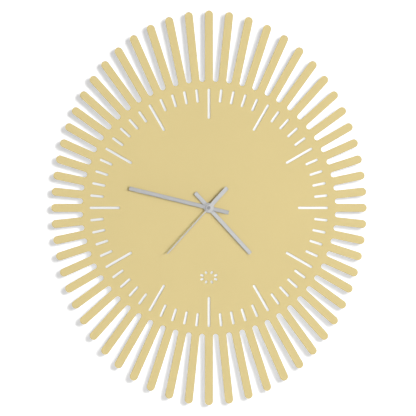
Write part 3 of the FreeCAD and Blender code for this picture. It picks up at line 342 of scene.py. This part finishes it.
def nylon():
    """Natural nylon: milky, with a slight glow through thin parts."""
    m = Recipe("nylon")
    milk = m.noise(4 * MM, 3.0)
    m.set(Base_Color=m.blend(milk, (0.76, 0.75, 0.70), (0.84, 0.83, 0.79)))
    m.set(Roughness=m.spread(m.noise(0.6 * MM), 0.38, 0.52))
    m.set(Subsurface_Weight=0.25, Subsurface_Scale=2 * MM)
    m.relief(m.noise(0.8 * MM, 2.0), 0.012 * MM, 0.3 * MM)
    return m.material


def black_rubber():
    m = Recipe("black_rubber")
    dust = m.noise(1.5 * MM, 5.0)
    m.set(Base_Color=m.blend(m.map(dust, 0.5, 0.75), (0.022, 0.022, 0.024), (0.06, 0.058, 0.055)))
    m.set(Roughness=m.spread(dust, 0.72, 0.9), Specular_IOR_Level=0.3)
    m.relief(m.noise(0.35 * MM, 3.0), 0.03 * MM, 0.25 * MM)
    return m.material


def moulded_black(name, print_mask=None):
    """Black ABS with a spark-eroded mould texture, and a printed mark if a mask is given."""
    m = Recipe(name)
    pits = m.noise(0.22 * MM, 2.0)
    sheen = m.noise(9 * MM, 2.0)
    colour = m.blend(pits, (0.017, 0.017, 0.018), (0.030, 0.030, 0.032))
    if print_mask:
        colour = m.blend(print_mask(m), colour, (0.62, 0.62, 0.60))
    m.set(Base_Color=colour, Roughness=m.spread(sheen, 0.42, 0.56), Specular_IOR_Level=0.45)
    m.relief(pits, 0.02 * MM, 0.3 * MM)
    return m.material


def acetal(name, colour):
    """Moulded acetal, as gears are made of: smooth, slightly see-through."""
    m = Recipe(name)
    milk = m.noise(2.5 * MM, 3.0)
    m.set(Base_Color=m.blend(milk, tinted(colour, 0.94), tinted(colour, 1.04)))
    m.set(Roughness=m.spread(m.noise(0.5 * MM), 0.28, 0.42))
    m.set(Subsurface_Weight=0.3, Subsurface_Scale=1 * MM)
    m.relief(milk, 0.01 * MM, 0.06 * MM)
    return m.material


def soft_iron():
    m = Recipe("soft_iron")
    scale = m.noise(2.5 * MM, 5.0)
    m.set(Base_Color=m.blend(scale, (0.30, 0.31, 0.33), (0.48, 0.48, 0.49)))
    m.set(Metallic=0.95, Roughness=m.spread(scale, 0.35, 0.6))
    m.relief(m.noise(0.2 * MM, 3.0), 0.008 * MM, 0.06 * MM)
    return m.material


def magnet():
    m = Recipe("magnet")
    grains = m.cells(0.18 * MM)
    m.set(Base_Color=m.blend(grains, (0.05, 0.05, 0.055), (0.14, 0.14, 0.145)))
    m.set(Metallic=0.4, Roughness=m.spread(grains, 0.5, 0.75))
    m.relief(grains, 0.01 * MM, 0.1 * MM)
    return m.material


def copper_wire():
    """Turns of enamelled wire laid side by side along X."""
    m = Recipe("copper_wire")
    wave = m.add("ShaderNodeTexWave", {"Vector": m.place, "Scale": 1.0 / (0.7 * MM), "Distortion": 0.4,
                                       "Detail Scale": 2.0}, bands_direction="X")
    turns = wave.outputs["Fac"]
    m.set(Base_Color=m.blend(turns, (0.16, 0.04, 0.015), (0.62, 0.23, 0.09)))
    m.set(Metallic=0.9, Roughness=m.spread(m.noise(1.5 * MM), 0.22, 0.4), Coat_Weight=0.4)
    m.relief(turns, 0.05 * MM)
    return m.material


def green_board():
    """Solder mask over copper tracks, which show as raised, lighter lanes."""
    m = Recipe("green_board")
    bricks = m.add("ShaderNodeTexBrick", {"Vector": m.place, "Scale": 1.0 / (9 * MM), "Mortar Size": 0.03})
    lanes = bricks.outputs["Fac"]
    weave = m.noise(0.3 * MM, 2.0)
    colour = m.blend(lanes, (0.015, 0.13, 0.045), (0.05, 0.27, 0.10))
    m.set(Base_Color=colour, Roughness=m.spread(weave, 0.25, 0.38), Coat_Weight=0.3)
    m.relief(m.math("ADD", lanes, m.math("MULTIPLY", weave, 0.1)), 0.03 * MM, 0.08 * MM)
    return m.material


def cast_resin():
    m = Recipe("cast_resin")
    swell = m.noise(1.2 * MM, 2.0)
    m.set(Base_Color=m.blend(swell, (0.008, 0.008, 0.009), (0.020, 0.020, 0.022)))
    m.set(Roughness=m.spread(swell, 0.12, 0.25), Coat_Weight=0.5)
    m.relief(swell, 0.03 * MM)
    return m.material


def red_wire():
    m = Recipe("red_wire")
    rub = m.noise(1.0 * MM, 4.0)
    m.set(Base_Color=m.blend(rub, (0.42, 0.02, 0.015), (0.58, 0.05, 0.03)))
    m.set(Roughness=m.spread(rub, 0.3, 0.5))
    m.relief(rub, 0.02 * MM)
    return m.material


def cell_wrap():
    """A printed film in two plain colours, shrunk onto a steel can whose ends stay bare."""
    m = Recipe("cell_wrap")
    low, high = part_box("battery_cell")

    def beyond(x):
        """1 past that place along the cell."""
        return m.map(m.axis(0), x - FILM_EDGE, x + FILM_EDGE)

    off_end = m.math("SUBTRACT", 1.0, beyond(high.x - CELL_NUB - FILM_INSET))
    film = m.math("MULTIPLY", beyond(low.x + FILM_INSET), off_end)
    band = beyond(low.x + BAND_START * (high.x - low.x))
    crinkle = m.noise(2.5 * MM, 3.0)
    body = m.blend(crinkle, (0.030, 0.038, 0.060), (0.045, 0.055, 0.085))
    cap = m.blend(crinkle, (0.55, 0.33, 0.08), (0.66, 0.42, 0.12))
    steel = m.blend(m.noise(0.6 * MM, 3.0), (0.55, 0.56, 0.57), (0.66, 0.67, 0.68))
    m.set(Base_Color=m.blend(film, steel, m.blend(band, body, cap)))
    m.set(Metallic=m.spread(film, 1.0, 0.35), Roughness=m.spread(crinkle, 0.22, 0.34))
    m.relief(m.math("ADD", m.math("MULTIPLY", film, 0.6), m.math("MULTIPLY", crinkle, 0.4)), 0.08 * MM)
    return m.material


def setting_arrow(m):
    """A printed arc with an arrowhead at one end, around the pocket of the time-setting knob."""
    knob_low, knob_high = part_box("setting_knob")
    centre = (knob_low + knob_high) / 2.0
    x = m.math("SUBTRACT", m.axis(0), centre.x)
    z = m.math("SUBTRACT", m.axis(2), centre.z)
    angle = m.math("ARCTAN2", z, x)
    off_arc = m.math("ABSOLUTE", m.math("SUBTRACT", m.radius(centre.x, centre.z), ARROW_RADIUS))
    on_line = m.math("LESS_THAN", off_arc, PRINT_WIDTH / 2.0)
    after_tail = m.math("GREATER_THAN", angle, ARROW_TAIL)
    on_stretch = m.math("MULTIPLY", after_tail, m.math("LESS_THAN", angle, ARROW_HEAD))
    line = m.math("MULTIPLY", on_line, on_stretch)
    head_slope = ARROW_HEAD_HALF / (ARROW_TIP - ARROW_HEAD)
    head_half = m.math("MULTIPLY", m.math("SUBTRACT", ARROW_TIP, angle), head_slope)
    past_neck = m.math("GREATER_THAN", angle, ARROW_HEAD)
    in_head = m.math("MULTIPLY", past_neck, m.math("LESS_THAN", off_arc, head_half))
    return m.math("MAXIMUM", line, in_head)


def printed_bar(m, x, z, half_length, half_height):
    """1 inside a small upright rectangle about that point."""
    beside = m.math("LESS_THAN", m.math("ABSOLUTE", m.math("SUBTRACT", m.axis(0), x)), half_length)
    level = m.math("LESS_THAN", m.math("ABSOLUTE", m.math("SUBTRACT", m.axis(2), z)), half_height)
    return m.math("MULTIPLY", beside, level)


def cover_print(m):
    """The setting arrow, and the cell's plus and minus signs over the two ends of its bay."""
    low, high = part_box("battery_cell")
    plus_x, minus_x = high.x - SIGN_INSET, low.x + SIGN_INSET
    z = high.z + SIGN_INSET
    thin, long = PRINT_WIDTH / 2.0, SIGN_SIZE / 2.0
    print_mask = setting_arrow(m)
    for stroke in (
        printed_bar(m, plus_x, z, long, thin),
        printed_bar(m, plus_x, z, thin, long),
        printed_bar(m, minus_x, z, long, thin),
    ):
        print_mask = m.math("MAXIMUM", print_mask, stroke)
    return print_mask


def plain_wall(camera):
    """Plain pale paint, which goes clear when the camera is behind the wall, so the back can be seen."""
    m = Recipe("wall_paint")
    tone = m.noise(400 * MM, 1.0)
    white = (WALL_WHITE, WALL_WHITE, WALL_WHITE)
    m.set(Base_Color=m.blend(tone, white, tinted(white, 1.01)))
    m.set(Roughness=m.spread(m.noise(3 * MM), 0.85, 0.95), Specular_IOR_Level=0.1)
    m.set(Emission_Color=WHITE, Emission_Strength=m.spread(m.bounced(), WALL_GLOW, WALL_BOUNCE))
    camera_y = m.add("ShaderNodeValue").outputs[0]
    driver = camera_y.driver_add("default_value").driver
    driver.type = "SUM"
    variable = driver.variables.new()
    variable.type = "TRANSFORMS"
    variable.targets[0].id = camera
    variable.targets[0].transform_type = "LOC_Y"
    variable.targets[0].transform_space = "WORLD_SPACE"
    behind = m.math("GREATER_THAN", camera_y, 0.0)
    clear = m.add("ShaderNodeBsdfTransparent").outputs[0]
    mixed = m.add("ShaderNodeMixShader", {0: behind, 1: m.surface.outputs[0], 2: clear}).outputs[0]
    m.feed(m.output.inputs["Surface"], mixed)
    return m.material


# ---------------------------------------------------------------- finishes of the CAD nodes

def finish_nodes():
    """Gives each CAD node its slot's material, with a few nodes that have one of their own."""
    black = moulded_black("case_black")
    slots = {
        "lacquer": lacquer(),
        "white_board": white_board(),
        "zinc_steel": zinc_steel(),
        "spacer_plastic": nylon(),
        "black_rubber": black_rubber(),
        "brass": turned_brass(),
        "dark_cap": dark_cap(),
        "case_black": black,
        "gear_plastic": acetal("gear_acetal", (0.78, 0.76, 0.68)),
        "bridge_plastic": acetal("bridge_acetal", (0.72, 0.72, 0.70)),
        "soft_iron": soft_iron(),
        "magnet": magnet(),
        "copper_wire": copper_wire(),
        "board_green": green_board(),
        "resin_black": cast_resin(),
        "wire_red": red_wire(),
        "cell_wrap": cell_wrap(),
    }
    own = {
        "hour_hand": hand_metal("hour_silver", HOUR_BEARING, HOUR_TONE, HUB_RADIUS),
        "minute_hand": hand_metal("minute_silver", MINUTE_BEARING, MINUTE_TONE, HUB_RADIUS),
        "second_hand": hand_metal("second_silver", SECOND_BEARING, SECOND_TONE, SECOND_BOSS_RADIUS),
        "rear_cover": moulded_black("cover_black", cover_print),
        "setting_knob": acetal("knob_grey", (0.30, 0.30, 0.31)),
    }
    for part in frame["record"]["subparts"]:
        node = frame["nodes"][part["node"]]
        material = own.get(part["node"]) or slots[part["material_slot"]]
        node.data.materials.clear()
        node.data.materials.append(material)
    return slots


# ---------------------------------------------------------------- details beyond the CAD nodes

def add_object(name, data):
    thing = bpy.data.objects.new(name, data)
    bpy.context.scene.collection.objects.link(thing)
    return thing


def mesh_from(sheet, name, material):
    mesh = bpy.data.meshes.new(name)
    sheet.to_mesh(mesh)
    sheet.free()
    mesh.materials.append(material)
    return mesh


def fixed_piece(sheet, name, slots, slot):
    """A closed shape with softly broken edges, which stays with the clock's body."""
    bmesh.ops.recalc_face_normals(sheet, faces=sheet.faces)
    piece = add_object(name, mesh_from(sheet, name, slots[slot]))
    bevel = piece.modifiers.new("broken edges", "BEVEL")
    bevel.width = EDGE_ROUNDING
    bevel.segments = 2
    bevel.limit_method = "ANGLE"
    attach(piece, "clock_body")


def add_latch(sheet, wall_x, side, height):
    """A tongue on the case's side wall with a barb that the cover hooks onto."""
    ends = []
    for z in (height - LATCH_WIDTH / 2.0, height + LATCH_WIDTH / 2.0):
        outline = [(wall_x + side * out * MM, -depth * MM, z) for out, depth in LATCH_PROFILE]
        ends.append([sheet.verts.new(point) for point in outline])
    for cap in ends:
        sheet.faces.new(cap)
    count = len(LATCH_PROFILE)
    for i in range(count):
        j = (i + 1) % count
        sheet.faces.new((ends[0][i], ends[0][j], ends[1][j], ends[1][i]))


def case_latches(slots):
    low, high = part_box("rear_cover")
    sheet = bmesh.new()
    for wall_x, side in ((low.x, -1.0), (high.x, 1.0)):
        for height in LATCH_HEIGHTS:
            add_latch(sheet, wall_x, side, height)
    fixed_piece(sheet, "case_latches", slots, "case_black")


def add_washer(sheet, x, z, disc_back):
    """A dished ring whose inner edge is notched into teeth."""
    columns = []
    steps = 4 * WASHER_TEETH
    raised, far = disc_back + WASHER_DISH, disc_back + WASHER_THICKNESS
    for k in range(steps):
        turn = 2.0 * math.pi * k / steps
        inner = WASHER_BORE if k % 4 else WASHER_NOTCH
        corners = (
            (inner, raised),
            (WASHER_RADIUS, disc_back),
            (WASHER_RADIUS, far),
            (inner, raised + WASHER_THICKNESS),
        )
        ring = [(x + radius * math.cos(turn), y, z + radius * math.sin(turn)) for radius, y in corners]
        columns.append([sheet.verts.new(point) for point in ring])
    for one, two in zip(columns, columns[1:] + columns[:1]):
        for i in range(4):
            j = (i + 1) % 4
            sheet.faces.new((one[i], one[j], two[j], two[i]))


def stud_washers(slots):
    low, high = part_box("wall_spacers")
    sheet = bmesh.new()
    for x in (low.x + SPACER_RADIUS, high.x - SPACER_RADIUS):
        for z in (low.z + SPACER_RADIUS, high.z - SPACER_RADIUS):
            add_washer(sheet, x, z, low.y)
    fixed_piece(sheet, "stud_washers", slots, "zinc_steel")


# ---------------------------------------------------------------- studio

def make_camera():
    data = bpy.data.cameras.new("camera")
    data.type = "ORTHO"
    data.ortho_scale = VIEW_WIDTH
    camera = add_object("camera", data)
    camera.location = (CAMERA_SHIFT_X, -CAMERA_DISTANCE, CAMERA_SHIFT_Z)
    camera.rotation_euler = (math.radians(90.0), 0.0, 0.0)
    bpy.context.scene.camera = camera
    return camera


def backdrop(camera):
    """One sheet: down the wall, round a cove and out along the floor."""
    profile = [(0.0, WALL_TOP)]
    for k in range(COVE_STEPS + 1):
        turn = math.radians(90.0) * k / COVE_STEPS
        out = COVE_RADIUS * (math.cos(turn) - 1.0)
        profile.append((out, -FLOOR_DROP + COVE_RADIUS * (1.0 - math.sin(turn))))
    profile.append((-FLOOR_DEPTH, -FLOOR_DROP))
    sheet = bmesh.new()
    rows = []
    for y, z in profile:
        rows.append([sheet.verts.new((x, y, z)) for x in (-WALL_HALF_WIDTH, WALL_HALF_WIDTH)])
    for upper, lower in zip(rows, rows[1:]):
        face = sheet.faces.new((upper[0], lower[0], lower[1], upper[1]))
        face.smooth = True
    wall = add_object("backdrop", mesh_from(sheet, "backdrop", plain_wall(camera)))
    wall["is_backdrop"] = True
    return wall


def add_light(name, kind, strength, towards, **settings):
    """A light that shines along a direction."""
    data = bpy.data.lights.new(name, kind)
    data.energy = strength
    for key, value in settings.items():
        setattr(data, key, value)
    light = add_object(name, data)
    light.rotation_euler = Vector(towards).to_track_quat("-Z", "Y").to_euler()
    return light


def lights(clock, wall):
    """Each light falls on the clock or on the wall alone, as the wall's light comes from higher up."""
    onto_wall, onto_clock = -Vector(WALL_KEY_DIRECTION), -Vector(KEY_DIRECTION)
    wall_key = add_light("wall_key", "SUN", WALL_KEY_STRENGTH, onto_wall, angle=WALL_KEY_ANGLE)
    wall_key.light_linking.receiver_collection = wall
    key = add_light("key", "SUN", KEY_STRENGTH, onto_clock, angle=KEY_ANGLE)
    fill = add_light("fill_panel", "AREA", FILL_POWER, -Vector(FILL_PLACE), shape="DISK", size=FILL_SIZE)
    fill.location = FILL_PLACE
    diffusers = [
        add_light("front", "SUN", FRONT_STRENGTH, (0.0, 1.0, 0.0), angle=FRONT_ANGLE),
        add_light("front_dome", "SUN", FRONT_DOME_STRENGTH, (0.0, 1.0, 0.0), angle=DOME_ANGLE),
        add_light("back_dome", "SUN", BACK_DOME_STRENGTH, (0.0, -1.0, 0.0), angle=DOME_ANGLE),
    ]
    for light in diffusers:
        light.visible_glossy = False
    for light in [key, fill, *diffusers]:
        light.light_linking.receiver_collection = clock


def sky():
    """What shiny parts mirror: pale all round, brightest towards a softbox, both in front and behind."""
    world = bpy.data.worlds.new("studio")
    world.use_nodes = True
    world.cycles_visibility.diffuse = False
    bpy.context.scene.world = world
    g = Graph(world.node_tree)
    ray = g.add("ShaderNodeTexCoord").outputs["Generated"]
    x, y, z = g.add("ShaderNodeSeparateXYZ", {0: ray}).outputs
    folded = g.add("ShaderNodeCombineXYZ", {0: x, 1: g.math("ABSOLUTE", y), 2: z}).outputs[0]
    towards = Vector(SOFTBOX_DIRECTION).normalized()
    facing = g.add("ShaderNodeVectorMath", {0: folded, 1: towards}, operation="DOT_PRODUCT").outputs["Value"]
    mirrored = g.map(facing, 0.0, 1.0, SKY_DARKEST, SKY_BRIGHTEST)
    seen = g.add("ShaderNodeLightPath").outputs["Is Camera Ray"]
    g.feed(g.tree.nodes["Background"].inputs["Strength"], g.spread(seen, mirrored, SKY_SEEN))
    g.feed(g.tree.nodes["Background"].inputs["Color"], WHITE)


def collection_of(name, things):
    group = bpy.data.collections.new(name)
    for thing in things:
        group.objects.link(thing)
    return group


slots = finish_nodes()
case_latches(slots)
stud_washers(slots)
camera = make_camera()
wall = backdrop(camera)
lights(collection_of("clock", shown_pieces()), collection_of("wall", [wall]))
sky()
bpy.context.scene.view_settings.view_transform = "Standard"
